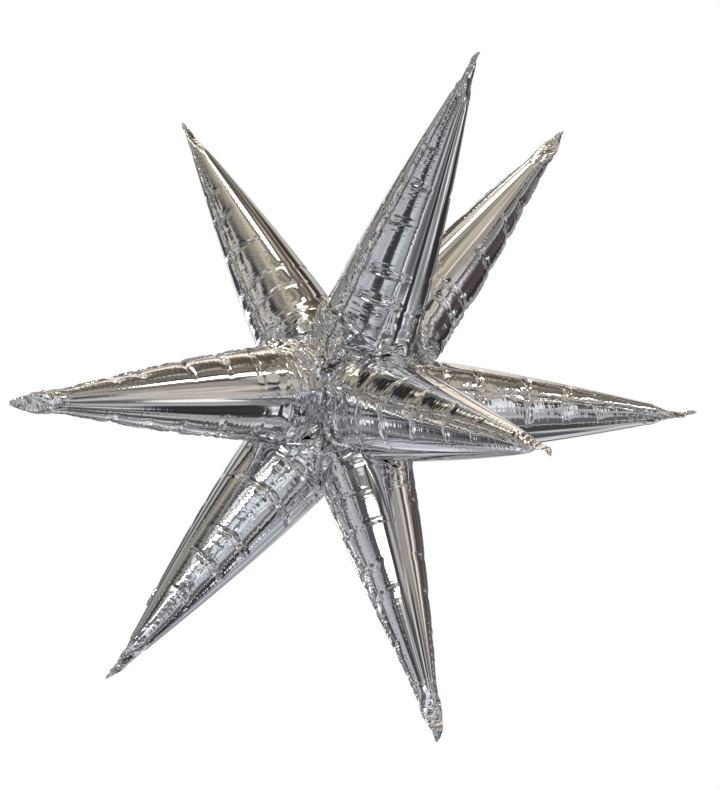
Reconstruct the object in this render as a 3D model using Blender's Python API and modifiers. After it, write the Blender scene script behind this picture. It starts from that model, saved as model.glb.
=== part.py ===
"""A starburst foil balloon: twelve inflated foil cones, tied together by their tails.

Metres, +Z up, seen from -Y. The origin is the tie knot, where the twelve tails meet.
Each cone is two foil panels sealed along their edges, so it has a seam flange down both sides
that runs on past the point as a flat tab. It is blown up through its tail, so its wall is open
there. Where two cones lean on each other, both are pressed flat.
"""

import math
from collections import namedtuple

import bmesh
import bpy
from mathutils import Matrix, Vector

# One cone, measured from its point
CONE_LENGTH = 0.344
WIDEST_AT = 0.276
WIDEST_RADIUS = 0.0495
SIDE_CURVE = 1.25
BASE_CURVE = 2.6
NECK_RADIUS = 0.009
POINT_RADIUS = 0.0022
BODY_ENDS_AT = 0.020

# The tucks that cross the foil, as distances from the point
TUCKS = (0.092, 0.120, 0.149, 0.180, 0.213, 0.248, 0.284)
TUCK_DEPTH = 0.0018
TUCK_BULGE = 0.0012

# The seam flange and the flat tab at the point
SEAM_WIDTH = 0.006
SEAM_THICKNESS = 0.0018
TAB_HALF_WIDTH = 0.0050
TAB_SQUARE_END = 0.0032
BEND_LENGTH = 0.024

# The wall, thicker than the foil so that it can be a solid
WALL = 0.010
FILLING_HOLE_RADIUS = 0.003
FILLING_HOLE_DEPTH = 0.045

# The tails and the knot
KNOT_RADIUS = 0.008
TAIL_THICKNESS = 0.002
TAIL_WIDTH_AT_KNOT = 0.0050
TAIL_WIDTH_AT_CONE = 0.0130
SEAT_GAP = 0.0003
CONTACT_GAP = 0.0005

TURN_STEPS = 16
CAVITY_STEPS = 8

# Each cone's point lies at this azimuth in the view from -Y, leaning this far towards that view,
# at this reach from the knot. Its axis passes the knot at the foot, an X and a Z from it.
# Girth is how full it is blown, seam turn is about its own axis, both angles in degrees.
Cone = namedtuple("Cone", "azimuth lean reach foot_x foot_z girth seam_turn tab_bend")
CONES = {
    "spike_01": Cone(67.9, 25.7, 0.3850, 0.0000, -0.0010, 0.94, 50, -7),
    "spike_02": Cone(50.2, -18.9, 0.3845, 0.0050, -0.0020, 0.90, -15, -4),
    "spike_03": Cone(120.3, -24.3, 0.3705, -0.0065, 0.0000, 0.91, 50, 4),
    "spike_04": Cone(-178.9, 39.4, 0.3835, 0.0015, 0.0060, 0.91, 0, 12),
    "spike_05": Cone(-2.5, -7.4, 0.3660, 0.0000, -0.0080, 0.97, 65, 8),
    "spike_06": Cone(-15.6, 59.3, 0.3745, 0.0000, -0.0010, 0.98, 80, -14),
    "spike_07": Cone(-129.7, 17.7, 0.3665, 0.0010, -0.0020, 0.96, 88, -5),
    "spike_08": Cone(-74.2, 24.6, 0.3705, 0.0030, 0.0020, 0.92, -20, 20),
    "spike_09": Cone(-132.3, -31.4, 0.3740, 0.0015, -0.0025, 0.97, 30, 10),
    "spike_10": Cone(164.5, -67.9, 0.3740, 0.0000, 0.0000, 0.97, 0, 14),
    "spike_11": Cone(-73.0, -31.3, 0.3740, 0.0000, 0.0000, 0.97, 60, -12),
    "spike_12": Cone(-0.9, -59.9, 0.3740, 0.0000, 0.0000, 0.97, 90, 10),
}

FOIL_COLOUR = (0.86, 0.86, 0.87, 1.0)
RIBBON_COLOUR = (0.80, 0.80, 0.82, 1.0)


def clear_scene():
    for thing in list(bpy.data.objects):
        bpy.data.objects.remove(thing)


def new_collection(name):
    made = bpy.data.collections.new(name)
    bpy.context.scene.collection.children.link(made)
    return made


def new_material(name, colour, roughness, metallic):
    made = bpy.data.materials.new(name)
    made.use_nodes = True
    shader = made.node_tree.nodes["Principled BSDF"]
    shader.inputs["Base Color"].default_value = colour
    shader.inputs["Roughness"].default_value = roughness
    shader.inputs["Metallic"].default_value = metallic
    return made


def add_object(name, data, collection):
    made = bpy.data.objects.new(name, data)
    collection.objects.link(made)
    return made


def evaluated_mesh(thing):
    """The object's mesh with its modifiers applied, in its own space, welded and in triangles."""
    bpy.context.view_layer.update()
    graph = bpy.context.evaluated_depsgraph_get()
    mesh = bpy.data.meshes.new_from_object(thing.evaluated_get(graph))
    shape = bmesh.new()
    shape.from_mesh(mesh)
    bmesh.ops.remove_doubles(shape, verts=shape.verts, dist=1e-6)
    bmesh.ops.triangulate(shape, faces=shape.faces)
    bmesh.ops.recalc_face_normals(shape, faces=shape.faces)
    shape.to_mesh(mesh)
    shape.free()
    return mesh


# The cone's outline

def radius_from_point(distance):
    """Half the cone's width at a distance from its point: a slender curve, then a round end."""
    if distance < WIDEST_AT:
        return WIDEST_RADIUS * (1 - (1 - distance / WIDEST_AT) ** SIDE_CURVE)
    along = (distance - WIDEST_AT) / (CONE_LENGTH - WIDEST_AT)
    shape = max(0.0, 1 - along**BASE_CURVE) ** (1 / BASE_CURVE)
    return NECK_RADIUS + (WIDEST_RADIUS - NECK_RADIUS) * shape


def outer_profile():
    """(radius, height) from the point down to the neck, with a groove at each tuck.

    Height is measured from the neck, so the point is at CONE_LENGTH.
    """
    marks = [(0.030, 0.0), (0.052, 0.0), (0.072, 0.0)]
    for tuck, following in zip(TUCKS, TUCKS[1:] + (None,)):
        marks.append((tuck, -TUCK_DEPTH))
        if following:
            marks.append(((tuck + following) / 2, TUCK_BULGE))
    rounding = CONE_LENGTH - TUCKS[-1]
    for share in (0.28, 0.55, 0.76, 0.92):
        marks.append((TUCKS[-1] + rounding * share, 0.0))
    points = [(0.0, CONE_LENGTH - BODY_ENDS_AT), (POINT_RADIUS, CONE_LENGTH - BODY_ENDS_AT)]
    points += [(radius_from_point(d) + change, CONE_LENGTH - d) for d, change in marks]
    return points + [(NECK_RADIUS, 0.0), (0.0, 0.0)]


def cavity_profile():
    """(radius, height) of the space inside, one wall's thickness in from the foil's face."""
    distances = (0.085, 0.150, 0.215, 0.276, 0.312)
    points = [(0.0, CONE_LENGTH - 0.060)]
    points += [(radius_from_point(d) - WALL, CONE_LENGTH - d) for d in distances]
    return points + [(0.012, 0.011), (0.0, 0.010)]


def seam_outline():
    """One side of the seam flange as (half width, height), from the tab to just above the neck."""
    points = [(TAB_SQUARE_END, CONE_LENGTH), (TAB_HALF_WIDTH, CONE_LENGTH - 0.007)]
    for distance in (0.026, 0.060, 0.106, 0.164, 0.230, 0.276, 0.306, 0.326, 0.338):
        points.append((radius_from_point(distance) + SEAM_WIDTH, CONE_LENGTH - distance))
    return points + [(NECK_RADIUS + SEAM_WIDTH * 0.5, 0.002)]


# Shapes

def turned(name, profile, steps, collection):
    """A profile of (radius, height) turned about Z."""
    mesh = bpy.data.meshes.new(name)
    edges = [(i, i + 1) for i in range(len(profile) - 1)]
    mesh.from_pydata([(r, 0.0, z) for r, z in profile], edges, [])
    made = add_object(name, mesh, collection)
    screw = made.modifiers.new("Turn", "SCREW")
    screw.steps = screw.render_steps = steps
    screw.use_merge_vertices = True
    screw.merge_threshold = 0.00002
    return made


def flat_plate(name, outline, thickness, collection):
    """A closed outline of (x, z) points as a plate of this thickness, lying in the XZ plane."""
    curve = bpy.data.curves.new(name, "CURVE")
    curve.dimensions = "2D"
    curve.fill_mode = "BOTH"
    curve.extrude = thickness / 2
    line = curve.splines.new("POLY")
    line.points.add(len(outline) - 1)
    for point, (x, z) in zip(line.points, outline):
        point.co = (x, z, 0.0, 1.0)
    line.use_cyclic_u = True
    flat = add_object(name, curve, collection)
    mesh = evaluated_mesh(flat)
    bpy.data.objects.remove(flat)
    mesh.transform(Matrix.Rotation(math.radians(90), 4, "X"))
    return mesh


def united(body, other_mesh, name, collection):
    """The body's mesh joined to another by a Boolean union."""
    other = add_object(name, other_mesh, collection)
    join = body.modifiers.new("Join", "BOOLEAN")
    join.operation = "UNION"
    join.object = other
    mesh = evaluated_mesh(body)
    bpy.data.objects.remove(other)
    return mesh


def cone_master(collection):
    """One whole cone with its seam flange and tab, its neck at the origin and its point up."""
    side = seam_outline()
    outline = side + [(-x, z) for x, z in reversed(side)]
    seam = flat_plate("seam", outline, SEAM_THICKNESS, collection)
    body = turned("cone", outer_profile(), TURN_STEPS, collection)
    body.data = evaluated_mesh(body)
    body.modifiers.clear()
    mesh = united(body, seam, "seam", collection)
    bpy.data.objects.remove(body)
    return mesh


def bend_tab(mesh, degrees):
    """Bends the end of the cone across its seam, and leans it so that the tab ends on the axis."""
    start = CONE_LENGTH - BEND_LENGTH
    for vertex in mesh.vertices:
        past = vertex.co.z - start
        if past > 0:
            turn = math.radians(degrees) * past / BEND_LENGTH
            vertex.co.y += past * math.sin(turn)
            vertex.co.z = start + past * math.cos(turn)
    end = math.radians(degrees)
    off_axis = BEND_LENGTH * math.sin(end)
    height = start + BEND_LENGTH * math.cos(end)
    mesh.transform(Matrix.Rotation(math.atan2(off_axis, height), 4, "X"))


def cell_mesh(own, others, inset):
    """The space nearer to this cone's axis than to any other's, as a pointed block from the knot."""
    shape = bmesh.new()
    bmesh.ops.create_cube(shape, size=1.0)
    for other in others:
        normal = (other - own).normalized()
        cut = bmesh.ops.bisect_plane(
            shape,
            geom=list(shape.verts) + list(shape.edges) + list(shape.faces),
            plane_co=-normal * inset,
            plane_no=normal,
            clear_outer=True,
        )
        edges = [item for item in cut["geom_cut"] if isinstance(item, bmesh.types.BMEdge)]
        if edges:
            bmesh.ops.holes_fill(shape, edges=edges)
    bmesh.ops.recalc_face_normals(shape, faces=shape.faces)
    mesh = bpy.data.meshes.new("cell")
    shape.to_mesh(mesh)
    shape.free()
    return mesh


# Placing

def point_of(name):
    """Where this cone's point is."""
    cone = CONES[name]
    azimuth, lean = math.radians(cone.azimuth), math.radians(cone.lean)
    across = cone.reach * math.cos(lean)
    towards_view = cone.reach * math.sin(lean)
    return Vector((across * math.cos(azimuth), -towards_view, across * math.sin(azimuth)))


def axis_of(name):
    cone = CONES[name]
    return (point_of(name) - Vector((cone.foot_x, 0.0, cone.foot_z))).normalized()


def frame_along(axis, origin, seam_turn):
    """The matrix whose Z runs along the axis, with X and Y turned about it from the view's side."""
    towards_view = Vector((0.0, -1.0, 0.0))
    broad_face = (towards_view - axis * towards_view.dot(axis)).normalized()
    side = axis.cross(broad_face)
    turned_to = Matrix((side, -broad_face, axis)).transposed().to_4x4()
    return Matrix.Translation(origin) @ turned_to @ Matrix.Rotation(math.radians(seam_turn), 4, "Z")


def neck_of(name):
    return point_of(name) - axis_of(name) * CONE_LENGTH


def placing_of(name):
    """The matrix that carries a cone from the master's place to its own."""
    girth = CONES[name].girth
    placing = frame_along(axis_of(name), neck_of(name), CONES[name].seam_turn)
    return placing @ Matrix.Diagonal((girth, girth, 1.0, 1.0))


def cut(body, cutter, operation, name):
    cutter.hide_render = True
    cutter.display_type = "WIRE"
    step = body.modifiers.new(name, "BOOLEAN")
    step.operation = operation
    step.object = cutter


def add_cone(name, master, cavity, hole, parts, cutters, material):
    directions = {other: point_of(other).normalized() for other in CONES}
    own = directions.pop(name)
    placing = placing_of(name)
    cell = add_object(name + "_cell", cell_mesh(own, directions.values(), CONTACT_GAP / 2), cutters)
    inner_mesh = cell_mesh(own, directions.values(), WALL)
    inner_cell = add_object(name + "_inner_cell", inner_mesh, cutters)
    filling = add_object(name + "_filling", hole.copy(), cutters)
    filling.data.transform(placing)

    inside = add_object(name + "_inside", cavity.copy(), cutters)
    inside.data.transform(placing)
    cut(inside, inner_cell, "INTERSECT", "Pressed flat")
    cut(inside, filling, "UNION", "Filling hole")
    inside.data = evaluated_mesh(inside)
    inside.modifiers.clear()

    mesh = master.copy()
    bend_tab(mesh, CONES[name].tab_bend)
    mesh.transform(placing)
    mesh.materials.append(material)
    mesh.shade_smooth()
    body = add_object(name, mesh, parts)
    cut(body, cell, "INTERSECT", "Pressed flat")
    cut(body, inside, "DIFFERENCE", "Hollow")


def filling_hole_mesh():
    """A round cutter along the cone's axis, from below its neck to inside its hollow."""
    shape = bmesh.new()
    start = -0.002
    bmesh.ops.create_cone(
        shape,
        cap_ends=True,
        segments=CAVITY_STEPS,
        radius1=FILLING_HOLE_RADIUS,
        radius2=FILLING_HOLE_RADIUS,
        depth=FILLING_HOLE_DEPTH - start,
        matrix=Matrix.Translation((0, 0, (FILLING_HOLE_DEPTH + start) / 2)),
    )
    mesh = bpy.data.meshes.new("filling_hole")
    shape.to_mesh(mesh)
    shape.free()
    return mesh


def add_tail(name, number, parts, material):
    """The flat tail from the knot to a cone's neck, in the plane of that cone's seam."""
    neck = neck_of(name)
    tilt = axis_of(name).angle(neck)
    clearance = TAIL_WIDTH_AT_CONE / 2 * math.tan(tilt) + TAIL_THICKNESS * math.sin(tilt)
    inner = KNOT_RADIUS + SEAT_GAP
    outer = neck.length - SEAT_GAP - clearance
    outline = [
        (-TAIL_WIDTH_AT_KNOT / 2, inner),
        (TAIL_WIDTH_AT_KNOT / 2, inner),
        (TAIL_WIDTH_AT_CONE / 2, outer),
        (-TAIL_WIDTH_AT_CONE / 2, outer),
    ]
    mesh = flat_plate(f"tail_{number:02d}", outline, TAIL_THICKNESS, parts)
    mesh.transform(frame_along(neck.normalized(), Vector(), CONES[name].seam_turn))
    mesh.materials.append(material)
    add_object(f"tail_{number:02d}", mesh, parts)


def add_knot(parts, material):
    shape = bmesh.new()
    bmesh.ops.create_uvsphere(shape, u_segments=16, v_segments=10, radius=KNOT_RADIUS)
    mesh = bpy.data.meshes.new("tie_knot")
    shape.to_mesh(mesh)
    shape.free()
    mesh.materials.append(material)
    mesh.shade_smooth()
    add_object("tie_knot", mesh, parts)


def main():
    clear_scene()
    parts = new_collection("starburst foil balloon")
    cutters = new_collection("cutters")
    foil = new_material("silver foil", FOIL_COLOUR, 0.08, 1.0)
    ribbon = new_material("tie ribbon", RIBBON_COLOUR, 0.4, 0.0)

    master = cone_master(parts)
    cavity = turned("cavity", cavity_profile(), CAVITY_STEPS, cutters)
    cavity_mesh = evaluated_mesh(cavity)
    bpy.data.objects.remove(cavity)
    hole = filling_hole_mesh()
    for number, name in enumerate(CONES, 1):
        add_cone(name, master, cavity_mesh, hole, parts, cutters, foil)
        add_tail(name, number, parts, foil)
    add_knot(parts, ribbon)


main()
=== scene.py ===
# %% [markdown]
# # A starburst foil balloon
#
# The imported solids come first, as a fixed frame that nothing here moves. The balloon is twelve cones
# of mirror film, each welded from two flat panels and blown up through its tail. The tails are tied
# together in the middle, so the cones lean on each other there and their points stand out.

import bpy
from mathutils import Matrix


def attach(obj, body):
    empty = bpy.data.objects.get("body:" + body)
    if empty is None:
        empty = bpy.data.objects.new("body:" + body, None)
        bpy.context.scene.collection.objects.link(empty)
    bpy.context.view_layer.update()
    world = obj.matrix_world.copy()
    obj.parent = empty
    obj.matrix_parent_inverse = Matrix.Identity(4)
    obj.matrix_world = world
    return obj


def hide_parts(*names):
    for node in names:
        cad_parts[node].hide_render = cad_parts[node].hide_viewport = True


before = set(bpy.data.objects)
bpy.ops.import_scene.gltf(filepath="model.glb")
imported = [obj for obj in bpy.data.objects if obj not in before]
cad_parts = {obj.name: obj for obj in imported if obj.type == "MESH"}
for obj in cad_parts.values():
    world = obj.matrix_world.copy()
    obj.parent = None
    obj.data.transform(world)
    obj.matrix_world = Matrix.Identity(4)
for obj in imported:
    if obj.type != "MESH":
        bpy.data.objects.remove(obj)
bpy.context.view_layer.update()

import math

import bpy
import numpy as np

MM = 0.001

# %% [markdown]
# Where each cone lies is measured on its solid. The point of a cone is the far end of its flat tab,
# which is wider than it is thick, so the tab also tells how the two panels' seam is turned. The neck
# is the near end, and the axis runs from it to where the tab begins, because the tab itself is bent.

# %% Measure the cones
TAB = 14 * MM
FULL_RADIUS = 50.7 * MM
# from the neck to where the point would be if the tab were straight
STRAIGHT_REACH = 344 * MM
# how much of the solid's ends tells the places of the point and the neck
POINT_END = 2 * MM
NECK_END = 1 * MM
# the middles and half heights of the bands that tell the axis and the fullness
BEFORE_TAB, BEFORE_TAB_BAND = 34 * MM, 6 * MM
BELLY, BELLY_BAND = 120 * MM, 40 * MM
CONE_NAMES = sorted(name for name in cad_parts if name.startswith("spike"))


def unit(vector):
    return vector / np.linalg.norm(vector, axis=-1, keepdims=True)


def node_points(name):
    """A solid's corner points in the frame."""
    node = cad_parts[name]
    return np.array([node.matrix_world @ vertex.co for vertex in node.data.vertices])


def measure_cone(name):
    """Where a cone lies: its ends, its axis, how its seam is turned, and how full it is."""
    points = node_points(name)
    reach = np.linalg.norm(points, axis=1)
    tab_end = points[reach > reach.max() - POINT_END]
    point = tab_end.mean(axis=0)
    height = points @ unit(point)
    neck = points[height < height.min() + NECK_END].mean(axis=0)
    before_tab = points[np.abs(height - height.max() + BEFORE_TAB) < BEFORE_TAB_BAND]
    axis = unit(before_tab.mean(axis=0) - neck)
    seam = np.linalg.svd(tab_end - point)[2][0]
    seam = unit(seam - axis * (seam @ axis))
    broad = np.cross(axis, seam)
    body = points[np.abs(height - BELLY) < BELLY_BAND] - neck
    return {
        "point": point,
        "neck": neck,
        "straight_point": neck + axis * STRAIGHT_REACH,
        "axis": axis,
        "seam": seam,
        "broad": broad,
        "fullness": np.abs(body @ broad).max() / FULL_RADIUS,
    }


cones = [measure_cone(name) for name in CONE_NAMES]
for name, cone in zip(CONE_NAMES, cones):
    length = np.linalg.norm(cone["point"] - cone["neck"]) / MM
    print(f"{name}: {length:.0f} mm long, fullness {cone['fullness']:.2f}", cone["point"].round(3))

# %% [markdown]
# ## The flat panel
#
# A foil balloon is cut flat. When two panels are welded along their edges and blown up, the section
# turns round, so the panel is half a circumference wide: the blown radius times pi. The last
# stretch at the point isn't blown. It stays a flat welded tab.

# %% The outline of the panel
LENGTH = 370 * MM
WIDEST_AT = 276 * MM
WIDEST_RADIUS = 49.5 * MM
NECK_RADIUS = 6 * MM
SIDE_CURVE = 1.25
BASE_CURVE = 2.9
TAB_HALF_WIDTH = 4.4 * MM


def blown_radius(from_point):
    """The cone's radius when blown, at a distance from its point."""
    side = WIDEST_RADIUS * (1 - np.clip(1 - from_point / WIDEST_AT, 0, 1) ** SIDE_CURVE)
    along = np.clip((from_point - WIDEST_AT) / (LENGTH - WIDEST_AT), 0, 1)
    rounded = (1 - along**BASE_CURVE) ** (1 / BASE_CURVE)
    base = NECK_RADIUS + (WIDEST_RADIUS - NECK_RADIUS) * rounded
    return np.where(from_point < WIDEST_AT, side, base)


def meridian(samples=4000):
    """From tab to neck along the blown cone: distance over the film, distance from the point, radius."""
    even = (1 - np.cos(np.linspace(0, np.pi, samples))) / 2
    from_point = TAB + (LENGTH - TAB) * even
    radius = blown_radius(from_point)
    steps = np.hypot(np.diff(from_point), np.diff(radius))
    return np.concatenate([[0], np.cumsum(steps)]), from_point, radius


film, from_point, radius = meridian()
print(f"film from tab to neck: {film[-1] / MM:.0f} mm, across: {radius.max() * math.pi / MM:.0f} mm")

# %% [markdown]
# ## The blown form
#
# A straight cone can be rolled from a flat sheet without a wrinkle if each thread of film runs
# straight up to the point, so each column of the net keeps its own length there. What is left over is
# gathered into the round end, where the real film pleats too. Towards the point the two panels lie
# flat on each other, as wide as half the blown cone's circumference.

# %% The net in its blown form
ROWS = 130
COLUMNS = 26
AROUND = 2 * COLUMNS
START_BLEND = 240 * MM
FLAT_UNTIL = 12 * MM
ROUND_FROM = 50 * MM
# the share of its thickness that the flat end has lost
PRESSED = 0.85
angles = np.arange(AROUND) / AROUND * 2 * math.pi + math.pi
across = np.linspace(-1, 1, COLUMNS + 1)
across = np.concatenate([across[:-1], across[::-1][:-1]])
down = np.linspace(0, film[-1], ROWS + 1)
half_width = np.interp(down, film, radius) * math.pi / 2


def fade(value, start, end):
    """1 before the start, 0 after the end, smooth between."""
    t = np.clip((value - start) / (end - start), 0, 1)
    return 1 - t * t * (3 - 2 * t)


def blown_net():
    """The net in a cone's own axes: seam, broad side, and height above the neck."""
    step = np.hypot(np.diff(down)[:, None], np.diff(half_width)[:, None] * across)
    column = np.concatenate([np.zeros((1, AROUND)), np.cumsum(step, axis=0)])
    blend_from = np.interp(START_BLEND, from_point, film)
    gathered = np.clip((column - blend_from) / (column[-1] - blend_from), 0, 1)
    blended = blend_from + gathered * (film[-1] - blend_from)
    column = np.where(column < blend_from, column, blended)
    place = np.interp(column, film, from_point)
    size = np.interp(column, film, radius)
    pressed = fade(place, FLAT_UNTIL, ROUND_FROM)
    wide = size * np.cos(angles) * (1 + (math.pi / 2 - 1) * pressed)
    thick = size * np.sin(angles) * (1 - PRESSED * pressed)
    return np.stack([wide, thick, LENGTH - place], axis=-1)


def to_frame(local, cone):
    """From a cone's own axes to the frame."""
    wide, thick, height = local[..., 0:1], local[..., 1:2], local[..., 2:3]
    grown = cone["fullness"]
    across_axis = wide * grown * cone["seam"] + thick * grown * cone["broad"]
    return cone["straight_point"] + across_axis + (height - LENGTH) * cone["axis"]


net = blown_net()
blown = np.stack([to_frame(net, cone) for cone in cones]).astype(np.float32)
print("net:", blown.shape)

# %% [markdown]
# Each neighbour gives a plane halfway between the two cones, and the film is held back there, as the
# solids are. The two films are let a little past each other, so that no slit shows between them.
# Soft film pushes its neighbour about, so where they lean on each other the plane waves a little, the
# same wave for both, and no straight line shows.

# %% The planes between neighbours
OVERLAP = 1.6 * MM
NEIGHBOURS = 7
# the length and the height of each wave, in millimetres
WAVES = ((37, 2.6), (21, 1.8), (11, 0.9))
WAVE_SEED = 5
directions = np.array([unit(cone["point"]) for cone in cones])


def contact_planes():
    """For each cone, the outward normals of the planes it shares, and which side of each it is on."""
    normals, sides = [], []
    for number, own in enumerate(directions):
        nearest = np.argsort(-(directions @ own))[1 : NEIGHBOURS + 1]
        normals.append(unit(directions[nearest] - own))
        sides.append(np.where(nearest > number, 1.0, -1.0))
    return np.array(normals, np.float32), np.array(sides, np.float32)


planes, plane_sides = contact_planes()
chance = np.random.default_rng(WAVE_SEED)
wave_ways = [unit(chance.normal(size=3)) * 2 * math.pi / (long * MM) for long, _ in WAVES]
wave_ways = np.array(wave_ways, np.float32)


def hold_back(points):
    """Moves every point of the net that is past a plane back to it."""
    wave = np.zeros(points.shape[:-1], np.float32)
    for way, (_, high) in zip(wave_ways, WAVES):
        wave += np.float32(high * MM) * np.sin(points @ way)
    for side in range(NEIGHBOURS):
        normal = planes[:, side]
        past = np.einsum("kijc,kc->kij", points, normal) - OVERLAP / 2
        past -= wave * plane_sides[:, side][:, None, None]
        np.maximum(past, 0, out=past)
        points -= past[..., None] * normal[:, None, None, :]


print(f"planes: {plane_sides.size}, waving by up to {sum(high for _, high in WAVES):.1f} mm")

# %% [markdown]
# ## Letting the film crumple
#
# Film hardly stretches but folds easily, and at the round end, where the panels narrow to the neck,
# there is more of it than the blown form has room for. So the net is given its true lengths, a little
# longer than the form, and a small random start, and each length is put right again and again while
# the pressure holds the form. The extra length has to go into wrinkles. Blender's cloth could do this
# too, but with a net of even rows one set of sums moves all the cones at once.

# %% The film's own lengths
# the spare film as shares of its length: everywhere, and more of it in the round end
SPARE_DOWN = 0.0002
BASE_SPARE_DOWN = 0.025
BASE_SPARE_AROUND = 0.05
# where the round end begins and how soon it has all its spare, as shares of the way to the neck
BASE_BEGINS = 0.72
BASE_GROWS = 0.16


def net_lengths(points):
    """Lengths down, around and on both slants, with the film's spare length added."""
    at_base = np.clip((down - BASE_BEGINS * film[-1]) / (BASE_GROWS * film[-1]), 0, 1)[:, None]
    spare_down = 1 + SPARE_DOWN + BASE_SPARE_DOWN * at_base[:-1]
    spare_around = 1 + BASE_SPARE_AROUND * at_base
    below, beside = points[:, 1:], np.roll(points, -1, axis=2)

    def apart(a, b, spare):
        return (np.linalg.norm(a - b, axis=-1) * spare).astype(np.float32)

    slant = (spare_down + spare_around[:-1]) / 2
    return {
        "down": apart(below, points[:, :-1], spare_down),
        "around": apart(beside, points, spare_around),
        "slant": apart(beside[:, 1:], points[:, :-1], slant),
        "back_slant": apart(below, beside[:, :-1], slant),
    }


lengths = net_lengths(blown)
way_round = lengths["around"][0].sum(axis=-1).max()
print(f"film round the fullest place, its spare with it: {way_round / MM:.0f} mm")

# %% [markdown]
# One sweep puts right a set of lengths that share no knot of the net, so they can all be done in one
# sum. The rows and columns are taken in turns of odd and even.

# %% Crumple
STEPS = 220
HOLD_FORM = 0.05
SLANT_STIFFNESS = 0.6
START_SHAKE = 0.05 * MM
SHAKE_SEED = 12
HELD_ROWS = [0, 1, -1]


def put_right(a, b, length, stiffness=1.0):
    """Moves two sets of knots together or apart until each pair has its length."""
    gap = b - a
    size = np.sqrt(np.einsum("...c,...c", gap, gap)) + 1e-9
    gap *= (0.5 * stiffness * (1 - length / size))[..., None]
    a += gap
    b -= gap


def sweep_rows(points, first):
    """Puts right every other row's lengths to the row below, straight down and on both slants."""
    rows = (ROWS + 1 - first) // 2
    upper = slice(first, first + 2 * rows, 2)
    lower = slice(first + 1, first + 1 + 2 * rows, 2)
    a, b = points[:, upper], points[:, lower]
    put_right(a, b, lengths["down"][:, upper][:, :rows])
    for key, turn in (("slant", -1), ("back_slant", 1)):
        turned = np.roll(b, turn, axis=2)
        length = lengths[key][:, upper][:, :rows]
        if turn == 1:
            length = np.roll(length, 1, axis=2)
        put_right(a, turned, length, SLANT_STIFFNESS)
        b[...] = np.roll(turned, -turn, axis=2)


def sweep_around(points):
    """Puts right the lengths along each row, every other one and then those between them."""
    around = lengths["around"]
    put_right(points[:, :, 0::2], points[:, :, 1::2], around[:, :, 0::2])
    turned = np.roll(points, -1, axis=2)
    put_right(turned[:, :, 0::2], turned[:, :, 1::2], np.roll(around, -1, axis=2)[:, :, 0::2])
    points[...] = np.roll(turned, 1, axis=2)


def crumple(form):
    """Lets the net of every cone settle to its lengths, with its ends held where they are."""
    chance = np.random.default_rng(SHAKE_SEED)
    points = form.copy()
    points[:, 2:-1] += chance.normal(0, START_SHAKE, points[:, 2:-1].shape).astype(np.float32)
    ends = form[:, HELD_ROWS].copy()
    for _ in range(STEPS):
        points += np.float32(HOLD_FORM) * (form - points)
        sweep_rows(points, 0)
        sweep_rows(points, 1)
        sweep_around(points)
        hold_back(points)
        points[:, HELD_ROWS] = ends
    return points


knots = crumple(blown)
moved = np.linalg.norm(knots - blown, axis=-1).max() / MM
print(f"moved by up to {moved:.1f} mm in {STEPS} steps")

# %% [markdown]
# ## A finer net
#
# The folds need rows about a millimetre apart, so the blown net is redrawn finer with a smooth curve
# through its knots.

# %% Refine
FINE_ROWS = 310
FINE_AROUND = 108
HALF_AROUND = FINE_AROUND // 2
CROWDING = 0.3


def refine(values, where, axis, closed=False):
    """A smooth curve through the values along one axis, read at the given places."""
    values = np.moveaxis(values, axis, 0)
    size = len(values)
    first = np.floor(where).astype(int)
    if not closed:
        first = np.minimum(first, size - 2)
    t = (where - first).reshape((-1,) + (1,) * (values.ndim - 1))
    picks = [first - 1, first, first + 1, first + 2]
    picks = [pick % size if closed else np.clip(pick, 0, size - 1) for pick in picks]
    a, b, c, d = (values[pick] for pick in picks)
    bend = 2 * a - 5 * b + 4 * c - d + t * (3 * (b - c) + d - a)
    curve = b + 0.5 * t * (c - a + t * bend)
    return np.moveaxis(curve, 0, axis)


# the columns crowd towards the seams, where the film is folded most
even = np.arange(FINE_AROUND) / FINE_AROUND * 2 * math.pi
turn = even - CROWDING * np.sin(2 * even)
film_points = refine(knots.astype(float), np.linspace(0, ROWS, FINE_ROWS), 1)
film_points = refine(film_points, turn / (2 * math.pi) * AROUND, 2, closed=True)
film_down = np.linspace(0, film[-1], FINE_ROWS)
from_tip = np.interp(film_down, film, from_point)
row_radius = np.interp(film_down, film, radius)
print("fine net:", film_points.shape)

# %% [markdown]
# ## Tucks and wrinkles
#
# The panels' edges are longer than the blown cone has room for, so the film folds across the seam in
# tucks. A main tuck is two sharp folds side by side in a shallow waist, and it fades out round the
# cone. No two are alike, so they and every other wrinkle are drawn from random patterns.

# %% Random patterns
NOISE_SIZE = 128


def cell_corners(x, y, seed, period):
    """Random values at the four corners round each place, and how far across and up it lies."""
    table = np.random.default_rng(seed).uniform(-1, 1, (NOISE_SIZE, NOISE_SIZE))
    x0, y0 = np.floor(x).astype(int), np.floor(y).astype(int)
    tx, ty = x - x0, y - y0
    x1, y1 = x0 + 1, (y0 + 1) % NOISE_SIZE
    if period:
        x0, x1 = x0 % period, x1 % period
    x0, x1, y0 = x0 % NOISE_SIZE, x1 % NOISE_SIZE, y0 % NOISE_SIZE
    return table[x0, y0], table[x1, y0], table[x0, y1], table[x1, y1], tx, ty


def soft_noise(x, y, seed, period=0):
    """Smooth random values from -1 to 1 on a net of whole numbers. A period joins x end to end."""
    a, b, c, d, tx, ty = cell_corners(x, y, seed, period)
    tx, ty = tx * tx * (3 - 2 * tx), ty * ty * (3 - 2 * ty)
    low = a * (1 - tx) + b * tx
    high = c * (1 - tx) + d * tx
    return low * (1 - ty) + high * ty


def crisp_noise(x, y, seed):
    """Like soft noise, but it rises to sharp ridges."""
    return 1 - 2 * np.abs(soft_noise(x, y, seed))


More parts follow.
